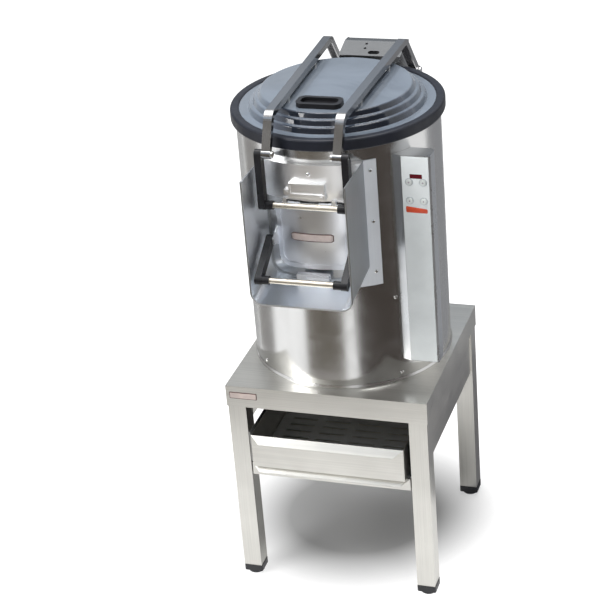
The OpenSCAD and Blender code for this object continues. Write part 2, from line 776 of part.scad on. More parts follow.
// Black arm of a handle from its pivot to its bar, with the corner that holds the bar
module handle_arm_at(pivot, bar) difference() {
    outer = handle_w / 2;
    inner = outer - handle_arm;
    length = norm(bar - pivot);
    lean = atan2(bar.y - pivot.y, bar.x - pivot.x);
    union() {
        across(inner, outer) {
            for (p = [pivot, bar]) translate(p) circle(d = handle_d);
            translate(pivot) rotate(lean) translate([0, -handle_d / 2]) square([length, handle_d]);
        }
        bar_x(bar.x, bar.y, bar_r + 3, outer - corner_l, inner + 1);
    }
    bar_x(pivot.x, pivot.y, bolt_r + run_gap, inner - bite, outer + bite);
    bar_x(bar.x, bar.y, bar_r + run_gap, 0, outer - 4);
}

module handle_bar_at(bar) bar_x(bar.x, bar.y, bar_r, 4.5 - handle_w / 2, handle_w / 2 - 4.5);

module door_handle() color("#18181a") at_bowl() both_sides() handle_arm_at(door_pivot, door_bar);

module door_handle_bar() color("#d9d2c0") at_bowl() handle_bar_at(door_bar);

// ---------- control column ----------

module column_plan(inset) polygon([[column_left + inset, -145], [column_left + inset, inset - 148],
    [panel_left - 1 + inset / 2, inset - column_front],
    [column_right - 3 - inset / 2, inset - column_front],
    [column_right - inset, inset + 3 - column_front], [column_right - inset, -118 - inset],
    [column_right - 8 - inset, -110 - inset], [column_left + inset, -110 - inset]]);

module button_places() for (p = [[-1, 0], [1, 0], [-1, -1], [1, -1]])
    translate([column_mid + p.x * button_dx / 2, 0, button_z + p.y * button_dz]) children();

// Place of the display, drawn in by an inset on each side
module display_cut(inset) translate([column_mid, 0, display_z])
    block([inset - 13, -column_front - 5, inset - display_h / 2 - seat_gap],
          [13 - inset, 5 - column_front, display_h / 2 + seat_gap - inset]);

module control_column() color("#bfc1c2") at_bowl() difference() {
    union() {
        translate([0, 0, column_low]) linear_extrude(column_top - column_low) column_plan(0);
    }
    difference() {
        translate([0, 0, column_low + column_sheet])
            linear_extrude(column_top - column_low - 2 * column_sheet) column_plan(column_sheet);
        for (x = [-18, 18], z = [board_low + 5, board_high - 5])
            bar_y(column_mid + x, z, 2.5, -column_front, board_y);
    }
    cylinder(r = flange_r, h = body_h + bite);
    button_places() bar_y(0, 0, button_r + move_gap, -column_front - bite, 4 - column_front);
    display_cut(0);
}

module control_panel() color("#cfd8dc") at_bowl() difference() {
    block([panel_left, -column_front - panel_t, column_low + 2],
          [panel_right - 2.5, -column_front, column_top - 2]);
    button_places() bar_y(0, 0, button_r + move_gap, -column_front - 5, 4 - column_front);
    display_cut(0);
}

module display() color("#5a1420") at_bowl() intersection() {
    display_cut(seat_gap);
    along(-column_front - 0.8, 5 - column_front) square(body_h * 3, center = true);
}

module button(px, pz) color("#e9e9e6") at_bowl()
    translate([column_mid + px * button_dx / 2, 0, button_z + pz * button_dz]) {
        bar_y(0, 0, button_r, -column_front - 3.4, 8 - column_front);
        translate([0, -column_front - 3.4, 0]) rotate([90, 0, 0])
            cylinder(r1 = button_r, r2 = button_r - 1, h = 0.8);
        bar_y(0, 0, button_r + 1.4, 2 - column_front, 4 - column_front);
    }

module control_board() color("#2f6b45") at_bowl() {
    back = board_y + 1.6;
    block([column_mid - 22, board_y, board_low], [column_mid + 22, back, board_high]);
    button_places() bar_y(0, 0, 3, board_y - 1.6, board_y);
    block([column_mid - 18, back, board_low + 10], [column_mid + 4, back + 12, board_low + 45]);
    block([column_mid - 14, back, board_low + 60], [column_mid + 12, back + 6, board_low + 80]);
}

// ---------- hinge, inlet and gland ----------

module hinge_bracket() color("#b0b1b0") at_bowl() difference() {
    sheet = 3;
    low = body_h - 105;
    foot_top = body_h - 20;
    front = hinge_y - 62;
    crest = hinge_y - 8;
    edge = [[flange_r - 6, low], [flange_r - 6, foot_top], [front - 10, foot_top],
        [front, body_h + 16], [crest, body_h + 31], [bracket_back, body_h + 29],
        [bracket_back, hinge_z - 20], [hinge_y - 18, hinge_z - 36]];
    union() {
        both_sides() across(cheek_x - sheet, cheek_x) polygon(edge);
        across(-cheek_x, cheek_x) strip([[front, body_h + 15], [crest, body_h + 30],
            [bracket_back - 1, body_h + 28], [bracket_back - 1, hinge_z - 20]], 4, -1, 1);
        intersection() {
            translate([0, 0, low]) tube(flange_r + sheet, flange_r, foot_top - low);
            block([-cheek_x - 14, 0, 0], [cheek_x + 14, body_r + 9, body_h]);
        }
    }
    cylinder(r = flange_r, h = body_h);
    bar_x(hinge_y, hinge_z, hinge_r + run_gap, -cheek_x - bite, cheek_x + bite);
    translate([oval_at.x, oval_at.y, body_h]) {
        for (x = [-7, 7]) translate([x, 0, 0]) cylinder(r = 6, h = 60);
        block([-7, -6, 0], [7, 6, 60]);
    }
    for (p = [[-24, 30], [-23, 14]]) translate([oval_at.x + p.x, oval_at.y + p.y, body_h])
        cylinder(r = 3.2, h = 60);
}

module hinge_pin() color("#c9cacc") at_bowl() {
    reach = rear_x + eye_w / 2 + 1;
    bar_x(hinge_y, hinge_z, hinge_r, -reach, reach);
    both_sides() bar_x(hinge_y, hinge_z, hinge_r + 3, reach, reach + 3);
}

module water_inlet() color("#a7a9aa") at_bowl() translate([inlet_x, 0, inlet_z]) difference() {
    nut_r = 16;
    nut_y = sqrt(body_r * body_r - pow(inlet_x + nut_r, 2)) + 2 * seat_gap;
    valve_y = nut_y + 9;
    union() {
        bar_y(0, 0, inlet_r, nut_y - 28, valve_y + 40);
        translate([0, nut_y, 0]) rotate([-90, 0, 0]) cylinder(r = nut_r, h = 9.5, $fn = 6);
        block([-20, valve_y, -16], [20, valve_y + 33, 14]);
        bar_y(0, 0, inlet_r + 3.2, valve_y + 32, valve_y + 55);
        translate([0, valve_y + 16, -46]) cylinder(r = 14, h = 34);
    }
    bar_y(0, 0, inlet_r - 3, nut_y - 28 - bite, valve_y + 56);
}

module cable_gland() color("#2a2b2d") at_bowl() difference() {
    union() {
        bar_y(gland_x, gland_z, gland_r, 190, 220);
        translate([gland_x, 211, gland_z]) rotate([-90, 0, 0]) cylinder(r = 15, h = 8, $fn = 6);
        translate([gland_x, 219, gland_z]) rotate([-90, 0, 0])
            cylinder(r1 = 12, r2 = 9, h = 10);
    }
    bar_y(gland_x, gland_z, cord_r, 190 - bite, 230);
    bar_y(gland_x, gland_z, cord_r + 1, 190 - bite, 217);
}

// ---------- lid ----------

module lid() color([0.45, 0.5, 0.55, 0.45]) at_bowl() {
    mid = lid_z + lid_t / 2;
    top = dome_z - lid_t / 2;
    step = (dome_r - dome_top_r) / 3;
    rise = (top - mid) / 3;
    path = [[lid_edge_r - seat_gap, mid], [dome_r, mid], [dome_r - step * 0.4, mid + rise],
        [dome_r - step, mid + rise * 1.15], [dome_r - step * 1.4, mid + rise * 2],
        [dome_r - step * 2, mid + rise * 2.15], [dome_r - step * 2.5, top], [0, top]];
    rotate_extrude() strip(path, 3.2, -lid_t / 2, lid_t / 2);
}

module lid_gasket() color("#1d1e21") at_bowl() {
    low = gasket_top - gasket_h;
    in_r = lid_edge_r - 5;
    rotate_extrude() difference() {
        translate([(gasket_r + in_r) / 2, (gasket_top + low) / 2])
            round_rect(gasket_r - in_r, gasket_h, 5);
        translate([in_r - bite, low - bite])
            square([body_r + 1.5 - in_r + bite, body_h + move_gap - low + bite]);
        translate([in_r - bite, lid_z - seat_gap / 2])
            square([lid_edge_r - in_r + bite, lid_t + seat_gap]);
    }
}

module lid_grip() color("#26272b") at_bowl() translate([0, -116, dome_z]) difference() {
    linear_extrude(grip_h) round_rect(grip_l, grip_d, 16);
    translate([0, 0, 3]) linear_extrude(grip_h) round_rect(grip_l - 18, grip_d - 18, 10);
}

module lid_arm() color("#b8b6b0") difference() {
    union() {
        translate([arm_x, pivot_y, 0]) rotate([0, 0, -arm_lean]) translate([0, -pivot_y, 0])
            difference() {
                across(-arm_w / 2, arm_w / 2) strip(arm_path, arm_bend, -arm_t / 2, arm_t / 2);
                across(arm_wall - arm_w / 2, arm_w / 2 - arm_wall)
                    strip(arm_path, arm_bend, -arm_t / 2 - bite, arm_t / 2 - arm_wall);
            }
        bar_x(hinge_y, hinge_z, 11, rear_x - eye_w / 2, rear_x + eye_w / 2);
        bar_x(pivot_y, pivot_z, 9, arm_x - eye_w / 2, arm_x + eye_w / 2);
    }
    bar_x(hinge_y, hinge_z, hinge_r + run_gap, rear_x - eye_w, rear_x + eye_w);
    bar_x(pivot_y, pivot_z, bolt_r + run_gap, arm_x - eye_w, arm_x + eye_w);
}

module lid_fixings() color("#c6c8ca") at_bowl() both_sides() {
    head = arm_x - eye_w / 2 - seat_gap;
    for (y = [-95, 105]) translate([arm_x + (y - pivot_y) * tan(arm_lean), y, dome_z])
        cylinder(r = arm_w / 2 - arm_wall - 0.5, h = arm_z + arm_t / 2 - arm_wall - dome_z);
    bar_x(pivot_y, pivot_z, bolt_r, head - 2, handle_w / 2 - 1);
    bar_x(pivot_y, pivot_z, bolt_r + 3, head - 4, head);
}

module lid_handle() color("#18181a") at_bowl() both_sides()
    handle_arm_at([pivot_y, pivot_z], lid_bar);

module lid_handle_bar() color("#d9d2c0") at_bowl() handle_bar_at(lid_bar);

// ---------- every node ----------

table_top();
leg(-1, -1);  // leg_front_left
leg(1, -1);  // leg_front_right
leg(-1, 1);  // leg_back_left
leg(1, 1);  // leg_back_right
feet();
side_panel(-1);  // side_panel_left
side_panel(1);  // side_panel_right
back_panel();
drawer_runners();
catch_tray();
filter_drawer();
filter_screen();
base_ring();
body_shell();
bowl_floor();
abrasive_liner();
waste_pipe();
bearing_housing();
bearings();
shaft_seal();
peeling_plate();
plate_shaft();
plate_nut();
driven_pulley();
motor_pulley();
motor_shaft();
motor();
motor_bracket();
drive_belt();
chute();
guard_plate();
lid_catch();
door_catch();
body_screws();
control_column();
control_panel();
display();
button(-1, 0);  // button_top_left
button(1, 0);  // button_top_right
button(-1, -1);  // button_low_left
button(1, -1);  // button_low_right
control_board();
hinge_bracket();
hinge_pin();
water_inlet();
cable_gland();
lid();
lid_gasket();
lid_grip();
at_bowl() mirror([1, 0, 0]) lid_arm();  // lid_arm_left
at_bowl() lid_arm();  // lid_arm_right
lid_fixings();
lid_handle();
lid_handle_bar();
door();
door_seal();
door_hinge_pin();
door_handle();
door_handle_bar();
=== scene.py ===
import json
import math

import bmesh
import bpy
from mathutils import Matrix, Vector

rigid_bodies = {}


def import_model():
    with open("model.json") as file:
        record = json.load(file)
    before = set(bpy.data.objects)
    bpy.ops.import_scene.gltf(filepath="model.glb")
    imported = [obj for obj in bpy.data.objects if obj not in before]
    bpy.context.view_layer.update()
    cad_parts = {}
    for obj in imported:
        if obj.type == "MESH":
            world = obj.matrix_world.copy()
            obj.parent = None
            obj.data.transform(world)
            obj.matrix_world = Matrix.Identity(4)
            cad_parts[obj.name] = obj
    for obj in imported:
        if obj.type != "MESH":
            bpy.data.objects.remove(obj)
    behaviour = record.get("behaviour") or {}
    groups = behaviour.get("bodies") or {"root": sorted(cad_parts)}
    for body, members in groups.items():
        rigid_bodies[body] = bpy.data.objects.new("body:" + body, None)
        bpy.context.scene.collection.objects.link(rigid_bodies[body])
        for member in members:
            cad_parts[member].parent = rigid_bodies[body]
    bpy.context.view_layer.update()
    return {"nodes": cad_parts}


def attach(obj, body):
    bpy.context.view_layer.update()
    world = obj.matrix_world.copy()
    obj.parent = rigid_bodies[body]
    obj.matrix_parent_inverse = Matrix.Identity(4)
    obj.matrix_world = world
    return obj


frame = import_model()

nodes = frame["nodes"]

# places on the machine, in metres
BOWL_X = -0.005          # the drum's axis
DRUM_R = 0.215           # the drum's outside
TABLE_Z = 0.49           # the table's top
CHUTE_FLANGE_R = 0.2195  # the chute's wall flanges lie inside this radius
CHUTE_OUTER = 0.1062     # the middle of the chute's side sheets, from the drum's axis
DOOR_FACE_R = 0.2216     # the door's outside
APRON_Y = -0.245         # the apron's front
PANEL_Y = -0.1552        # the control panel's front
BUTTON_Y = -0.1582       # the buttons' front
COLUMN_X = BOWL_X + (0.175 + 0.2335) / 2  # the control column's middle

# ---------- camera at the photograph's angle ----------
AZIMUTH, ELEVATION, ROLL = 19.767, 27.351, -4.780
FOCAL_PX = 1915.26
LONG_SIDE_PX = 610
CAMERA_DISTANCE = 1.99924
CAMERA_TARGET = Vector((0.55197, -1.88414, 1.60221))


def make_camera():
    az, el, roll = (math.radians(v) for v in (AZIMUTH, ELEVATION, ROLL))
    back = Vector((math.sin(az) * math.cos(el), -math.cos(az) * math.cos(el), math.sin(el)))
    right = (-back).cross(Vector((0, 0, 1))).normalized()
    up = right.cross(-back)
    r2 = math.cos(roll) * right + math.sin(roll) * up
    u2 = -math.sin(roll) * right + math.cos(roll) * up
    cam = bpy.data.objects.new("camera", bpy.data.cameras.new("camera"))
    bpy.context.scene.collection.objects.link(cam)
    m = Matrix((r2, u2, back)).transposed().to_4x4()
    m.translation = CAMERA_TARGET + back * CAMERA_DISTANCE
    cam.matrix_world = m
    cam.data.sensor_width = 36
    cam.data.lens = FOCAL_PX / LONG_SIDE_PX * 36
    cam.data.clip_end = 50
    bpy.context.scene.camera = cam


make_camera()


# ---------- node helpers ----------
class Mat:
    """A node material with a Principled shader, built by short calls."""

    def __init__(self, name, color, rough, metal=0.0, **sockets):
        self.mat = bpy.data.materials.new(name)
        self.mat.use_nodes = True
        self.tree = self.mat.node_tree
        self.bsdf = self.tree.nodes["Principled BSDF"]
        self.bsdf.inputs["Base Color"].default_value = (*color, 1)
        self.bsdf.inputs["Roughness"].default_value = rough
        self.bsdf.inputs["Metallic"].default_value = metal
        for key, value in sockets.items():
            self.bsdf.inputs[key.replace("_", " ")].default_value = value
        self.mat.diffuse_color = (*color, 1)
        self.coord = self.add("ShaderNodeTexCoord").outputs["Object"]

    def add(self, kind, **props):
        node = self.tree.nodes.new(kind)
        for key, value in props.items():
            setattr(node, key, value)
        return node

    def link(self, out, socket):
        self.tree.links.new(out, socket)

    def math(self, op, a, b=None, clamp=False):
        node = self.add("ShaderNodeMath", operation=op, use_clamp=clamp)
        for i, v in enumerate((a, b)):
            if v is None:
                continue
            if isinstance(v, (int, float)):
                node.inputs[i].default_value = v
            else:
                self.link(v, node.inputs[i])
        return node.outputs[0]

    def scaled(self, vector, scale):
        node = self.add("ShaderNodeMapping", vector_type="POINT")
        self.link(vector, node.inputs["Vector"])
        node.inputs["Scale"].default_value = scale
        return node.outputs[0]

    def noise(self, scale, detail=3.0, rough=0.5, vector=None, stretch=None, distort=0.0):
        v = vector if vector is not None else self.coord
        if stretch is not None:
            v = self.scaled(v, stretch)
        node = self.add("ShaderNodeTexNoise")
        self.link(v, node.inputs["Vector"])
        node.inputs["Scale"].default_value = scale
        node.inputs["Detail"].default_value = detail
        node.inputs["Roughness"].default_value = rough
        node.inputs["Distortion"].default_value = distort
        return node.outputs["Fac"]

    def around(self):
        """Coordinates wrapped round the drum's axis: arc length, radius and height."""
        sep = self.add("ShaderNodeSeparateXYZ")
        self.link(self.coord, sep.inputs[0])
        x = self.math("SUBTRACT", sep.outputs[0], BOWL_X)
        y = sep.outputs[1]
        r = self.math("SQRT", self.math("ADD", self.math("MULTIPLY", x, x), self.math("MULTIPLY", y, y)))
        arc = self.math("MULTIPLY", self.math("ARCTAN2", x, y), DRUM_R)
        comb = self.add("ShaderNodeCombineXYZ")
        for i, v in enumerate((arc, r, sep.outputs[2])):
            self.link(v, comb.inputs[i])
        return comb.outputs[0]

    def ramp(self, fac, stops):
        node = self.add("ShaderNodeValToRGB")
        ramp = node.color_ramp
        while len(ramp.elements) < len(stops):
            ramp.elements.new(0.5)
        for e, (pos, col) in zip(ramp.elements, stops):
            e.position = pos
            e.color = (*col, 1) if len(col) == 3 else col
        self.link(fac, node.inputs[0])
        return node.outputs[0]

    def spread(self, fac, low, high, at=(0.3, 0.7)):
        node = self.add("ShaderNodeMapRange")
        self.link(fac, node.inputs["Value"])
        for key, v in (("From Min", at[0]), ("From Max", at[1]), ("To Min", low), ("To Max", high)):
            node.inputs[key].default_value = v
        return node.outputs[0]

    def color(self, out):
        self.link(out, self.bsdf.inputs["Base Color"])

    def rough(self, out):
        self.link(out, self.bsdf.inputs["Roughness"])

    def bump(self, height, strength, distance, normal=None):
        node = self.add("ShaderNodeBump")
        node.inputs["Strength"].default_value = strength
        node.inputs["Distance"].default_value = distance
        self.link(height, node.inputs["Height"])
        if normal is not None:
            self.link(normal, node.inputs["Normal"])
        self.link(node.outputs[0], self.bsdf.inputs["Normal"])
        return node.outputs[0]


def shade(color, k):
    return tuple(max(0.0, min(1.0, c * k)) for c in color)


GRAIN = {
    "x": (3, 420, 420), "y": (420, 3, 420), "z": (420, 420, 3),
}


def steel(name, color, rough, grain, wave=0.0, depth=0.25, aniso=0.0, lines_tone=0.08, broad_tone=0.07,
          dull_inside=0.0, painted_shade_beyond=0.0):
    """Brushed steel: fine lines along the grain, uneven gloss, faint wipe marks and rolled waviness.

    Inside the radius dull_inside it is satin and a little darker; past that radius, faces further out
    sideways than the given side distance are darkened as painted shade on the side that faces away from the
    light."""
    m = Mat(name, color, rough, 1.0)
    if grain == "drum":
        base = m.around()
        lines = m.noise(1, 4, 0.65, base, (2.2, 60, 900))
        broad = m.noise(1, 2, 0.5, base, (14.0, 8, 2.2))
    elif grain == "disc":
        base = m.around()
        lines = m.noise(1, 4, 0.65, base, (3, 420, 60))
        broad = m.noise(7, 2, 0.5)
    else:
        lines = m.noise(1, 4, 0.65, None, GRAIN[grain])
        broad = m.noise(5, 3, 0.5)
    wipe = m.noise(14, 3, 0.55, distort=0.6)
    tone = m.math("ADD", m.spread(lines, -lines_tone, lines_tone), m.spread(broad, -broad_tone, broad_tone))
    streak = min(1.0, lines_tone / 0.08)
    gloss = m.math("ADD", m.spread(lines, rough - 0.05 * streak, rough + 0.06 * streak),
                   m.spread(wipe, -0.03, 0.05))
    if dull_inside:
        wrapped = m.add("ShaderNodeSeparateXYZ")
        m.link(m.around(), wrapped.inputs[0])
        straight = m.add("ShaderNodeSeparateXYZ")
        m.link(m.coord, straight.inputs[0])
        sideways = m.math("ABSOLUTE", m.math("SUBTRACT", straight.outputs[0], BOWL_X))
        inside = m.math("LESS_THAN", wrapped.outputs[1], dull_inside)
        # painted shade: side faces beyond the given distance, outside the flange radius, get a darker
        # colour
        beyond = m.math("GREATER_THAN", sideways, painted_shade_beyond)
        shaded_outer_side = m.math("MULTIPLY", beyond, m.math("SUBTRACT", 1.0, inside))
        darker = m.math("ADD", m.math("MULTIPLY", shaded_outer_side, 0.4), m.math("MULTIPLY", inside, 0.24))
        tone = m.math("SUBTRACT", tone, darker)
        gloss = m.math("ADD", gloss, m.math("MULTIPLY", inside, 0.30))
    m.color(m.ramp(m.math("ADD", tone, 0.5),
                   [(0.1, shade(color, 0.42)), (0.3, shade(color, 0.8)), (0.5, color),
                    (0.7, shade(color, 1.2))]))
    m.rough(gloss)
    n = m.bump(lines, depth, 0.00008)
    if wave:
        m.bump(m.noise(wave, 1, 0.4, distort=0.2), 0.5, 0.0010, n)
    if aniso:
        m.bsdf.inputs["Anisotropic"].default_value = aniso
        tangent = m.add("ShaderNodeTangent", direction_type="RADIAL", axis="Z")
        m.link(tangent.outputs[0], m.bsdf.inputs["Tangent"])
    return m.mat


def plastic(name, color, rough, grain=1400, depth=0.15, dust=0.0, uneven=0.18, **sockets):
    """Moulded plastic or rubber: fine grain, uneven gloss and a tone that varies at random, a little paler
    with dust.
    """
    m = Mat(name, color, rough, 0.0, **sockets)
    broad = m.noise(18, 3, 0.55)
    m.color(m.ramp(broad, [(0.35, shade(color, 1 - uneven)), (0.7, shade(color, 1 + uneven + dust))]))
    m.rough(m.spread(m.noise(60, 3, 0.6), rough - 0.05, rough + 0.07))
    m.bump(m.noise(grain, 2, 0.5), depth, 0.00008)
    return m.mat


def smoked(name):
    """Smoked clear sheet: its colour is dark seen straight on and paler at a slant, a painted sheen, with
    faint haze and wipe marks.
    """
    m = Mat(name, (0.2, 0.24, 0.3), 0.05, 0.0)
    slant = m.add("ShaderNodeLayerWeight")
    slant.inputs["Blend"].default_value = 0.5
    haze = m.noise(6, 4, 0.6, distort=0.8)
    # painted sheen: the colour follows the facing, paler where the sheet is seen at a slant
    painted_sheen_level = m.math("ADD", slant.outputs["Facing"], m.spread(haze, -0.11, 0.11))
    m.color(m.ramp(painted_sheen_level, [(0.12, (0.03, 0.038, 0.055)), (0.34, (0.13, 0.16, 0.22)),
                           (0.6, (0.34, 0.40, 0.48)), (0.9, (0.47, 0.54, 0.63))]))
    m.rough(m.spread(m.noise(40, 3, 0.6), 0.03, 0.09))
    m.bump(m.noise(12, 2, 0.5, distort=0.4), 0.12, 0.0008)
    m.bsdf.inputs["Transmission Weight"].default_value = 0.5
    m.bsdf.inputs["IOR"].default_value = 1.52
    return m.mat


def grit(name, dark, light):
    """Coarse abrasive grains bonded in resin."""
    m = Mat(name, dark, 0.85, 0.0)
    cells = m.add("ShaderNodeTexVoronoi")
    m.link(m.coord, cells.inputs["Vector"])
    cells.inputs["Scale"].default_value = 380
    m.color(m.ramp(cells.outputs["Distance"], [(0.0, light), (0.45, dark), (1.0, shade(dark, 0.5))]))
    m.rough(m.spread(m.noise(300, 2, 0.5), 0.65, 0.95))
    m.bump(m.math("SUBTRACT", 1.0, cells.outputs["Distance"]), 0.9, 0.0012)
    return m.mat


def cast(name, color, rough, metal=0.0):
    """Painted casting: orange peel over a rough surface."""
    m = Mat(name, color, rough, metal)
    m.color(m.ramp(m.noise(30, 4, 0.6), [(0.35, shade(color, 0.8)), (0.7, shade(color, 1.2))]))
    m.rough(m.spread(m.noise(120, 3, 0.5), rough - 0.1, rough + 0.1))
    m.bump(m.noise(420, 4, 0.65), 0.5, 0.0006)
    return m.mat


WARM = (0.61, 0.60, 0.565)
COOL = (0.60, 0.60, 0.595)
table_x = steel("table_steel_x", WARM, 0.34, "x", wave=5)
table_z = steel("table_steel_z", WARM, 0.34, "z", wave=4)
table_y = steel("table_steel_y", WARM, 0.34, "y", wave=4)
drum = steel("drum_steel", COOL, 0.17, "drum", depth=0.05, aniso=0.7, lines_tone=0.03)
satin_x = steel("satin_steel_x", (1.0, 1.0, 1.0), 0.37, "x", wave=6, depth=0.06, lines_tone=0.03)
bright_x = steel("bright_steel_x", (0.86, 0.88, 0.92), 0.29, "x", wave=2.5, depth=0.008, lines_tone=0.012,
                 broad_tone=0.03)
# the chute's outer side sheets get painted shade past CHUTE_OUTER
bright_z = steel("bright_steel_z", (0.92, 0.955, 1.0), 0.33, "z", wave=3, depth=0.008, lines_tone=0.015,
                 broad_tone=0.03, dull_inside=CHUTE_FLANGE_R, painted_shade_beyond=CHUTE_OUTER)
arm_steel = steel("arm_steel", (0.33, 0.33, 0.335), 0.17, "y", wave=7, depth=0.03, lines_tone=0.03)
bracket_steel = steel("bracket_steel", (0.27, 0.275, 0.28), 0.22, "x", wave=7, depth=0.03, lines_tone=0.03)
bar_steel = steel("bar_steel", (0.80, 0.75, 0.65), 0.28, "x", depth=0.1)
inner_steel = steel("inner_steel", (0.66, 0.67, 0.68), 0.48, "x", wave=6)
inner_drum = steel("inner_drum_steel", (0.42, 0.42, 0.41), 0.38, "disc")
screw_steel = steel("screw_steel", (0.80, 0.80, 0.79), 0.16, "x", depth=0.04)
ground = steel("ground_steel", (0.62, 0.62, 0.62), 0.2, "disc", depth=0.1)
column_z = steel("column_steel", (0.60, 0.62, 0.64), 0.28, "z", wave=5, depth=0.06, lines_tone=0.03)
black = plastic("black_plastic", (0.012, 0.012, 0.014), 0.32, Specular_IOR_Level=0.3)
foot_black = plastic("foot_plastic", (0.02, 0.021, 0.024), 0.42)
rubber = plastic("gasket_rubber", (0.016, 0.018, 0.026), 0.36, grain=700, Specular_IOR_Level=0.25)
smoke = smoked("smoked_plastic")
panel = plastic("panel_foil", (0.86, 0.90, 0.90), 0.34, grain=2200, uneven=0.04)
lens = plastic("display_lens", (0.14, 0.006, 0.014), 0.08)
button_white = plastic("button_plastic", (0.78, 0.82, 0.80), 0.4)
button_mark = plastic("button_mark", (0.40, 0.34, 0.38), 0.4)
strip_red = plastic("strip_plastic", (0.72, 0.085, 0.03), 0.35)
plate_pale = plastic("plate_plastic", (0.62, 0.52, 0.48), 0.3)
plate_rim = plastic("plate_rim", (0.10, 0.045, 0.04), 0.35)
board = plastic("board_green", (0.02, 0.14, 0.06), 0.35)
liner = grit("abrasive", (0.09, 0.075, 0.06), (0.26, 0.22, 0.18))
plate_grit = grit("plate_abrasive", (0.075, 0.065, 0.055), (0.24, 0.20, 0.17))
casting = cast("casting", (0.22, 0.24, 0.26), 0.5)
motor_paint = cast("motor_paint", (0.10, 0.16, 0.24), 0.4)
valve = steel("valve_metal", (0.62, 0.61, 0.58), 0.22, "y", depth=0.1)


FINISH = {
    table_x: ["table_top", "back_panel", "catch_tray", "filter_drawer"],
    table_y: ["side_panel_left", "side_panel_right"],
    table_z: ["leg_front_left", "leg_front_right", "leg_back_left", "leg_back_right"],
    drum: ["body_shell", "base_ring"],
    satin_x: ["guard_plate", "lid_catch"],
    bright_x: ["door_catch", "door"],
    bright_z: ["chute"],
    arm_steel: ["lid_arm_left", "lid_arm_right"],
    bracket_steel: ["hinge_bracket"],
    bar_steel: ["lid_handle_bar", "door_handle_bar"],
    inner_steel: ["drawer_runners", "filter_screen", "motor_bracket"],
    inner_drum: ["bowl_floor", "waste_pipe"],
    screw_steel: ["body_screws", "lid_fixings", "door_hinge_pin", "hinge_pin", "plate_nut"],
    ground: ["plate_shaft", "motor_shaft", "bearings"],
    column_z: ["control_column"],
    black: ["lid_handle", "door_handle", "cable_gland", "lid_grip"],
    foot_black: ["feet"],
    rubber: ["lid_gasket", "door_seal", "shaft_seal", "drive_belt"],
    smoke: ["lid"],
    panel: ["control_panel"],
    lens: ["display"],
    button_white: ["button_top_left", "button_top_right", "button_low_left", "button_low_right"],
    board: ["control_board"],
    liner: ["abrasive_liner"],
    plate_grit: ["peeling_plate"],
    casting: ["bearing_housing", "driven_pulley", "motor_pulley"],
    motor_paint: ["motor"],
    valve: ["water_inlet"],
}
for finish, names in FINISH.items():
    for name in names:
        mesh = nodes[name].data
        mesh.materials.clear()
        mesh.materials.append(finish)


# ---------- softened edges on the folded and moulded pieces ----------
EDGES = {
    0.0012: ["table_top", "leg_front_left", "leg_front_right", "leg_back_left", "leg_back_right",
             "control_column", "lid_handle", "door_handle", "feet"],
    0.0006: ["filter_drawer", "catch_tray", "side_panel_left", "side_panel_right", "back_panel",
             "lid_arm_left", "lid_arm_right", "hinge_bracket", "lid_catch", "door_catch", "guard_plate",
             "lid_grip", "chute", "control_panel"],
}
for width, names in EDGES.items():
    for name in names:
        mod = nodes[name].modifiers.new("soft_edge", "BEVEL")
        mod.width = width
        mod.segments = 2
        mod.limit_method = "ANGLE"
        mod.angle_limit = math.radians(40)
        mod.use_clamp_overlap = True
        mod.harden_normals = True


# ---------- new pieces ----------

def outline(w, h, r, steps=6):
    """Points of a rounded rectangle about its middle, counterclockwise."""
    pts = []
    corners = ((w / 2 - r, h / 2 - r, 0), (r - w / 2, h / 2 - r, 90),
               (r - w / 2, r - h / 2, 180), (w / 2 - r, r - h / 2, 270))
    for cx, cy, start in corners:
        for k in range(steps + 1):
            a = math.radians(start + 90 * k / steps)
            pts.append((cx + r * math.cos(a), cy + r * math.sin(a)))
    return pts


def piece(name, me, finish, body):
    ob = bpy.data.objects.new(name, me)
    bpy.context.scene.collection.objects.link(ob)
    me.materials.append(finish)
    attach(ob, body)
    return ob


def domed(name, rings, finish, body, place):
    """Plate from rings of (outline points, how far it stands out); place maps (x, out, z)."""
    bm = bmesh.new()
    loops = [[bm.verts.new(place(x, out, z)) for x, z in pts] for pts, out in rings]
    for low, high in zip(loops, loops[1:]):
        n = len(low)
        for i in range(n):
            bm.faces.new((low[i], low[(i + 1) % n], high[(i + 1) % n], high[i]))
    bm.faces.new(loops[-1])
    bm.faces.new(loops[0][::-1])
    bmesh.ops.recalc_face_normals(bm, faces=bm.faces)
    me = bpy.data.meshes.new(name)
    bm.to_mesh(me)
    bm.free()
    return piece(name, me, finish, body)


def flat_at(cx, front_y, cz):
    return lambda x, out, z: Vector((cx + x, front_y - out, cz + z))


def wrapped_at(cx, radius, cz):
    """Wrapped on the bowl's curve: x along the arc."""
    return lambda x, out, z: Vector((BOWL_X + (radius + out) * math.sin((cx + x) / radius),
                                     -(radius + out) * math.cos((cx + x) / radius), cz + z))


def cushion(w, h, r, t, soft):
    """Rings of a low plate with a soft rim."""
    return [(outline(w, h, r), 0.0), (outline(w, h, r), t - soft),
            (outline(w - 0.6 * soft, h - 0.6 * soft, r - 0.3 * soft), t - 0.3 * soft),
            (outline(w - 2 * soft, h - 2 * soft, r - soft), t)]


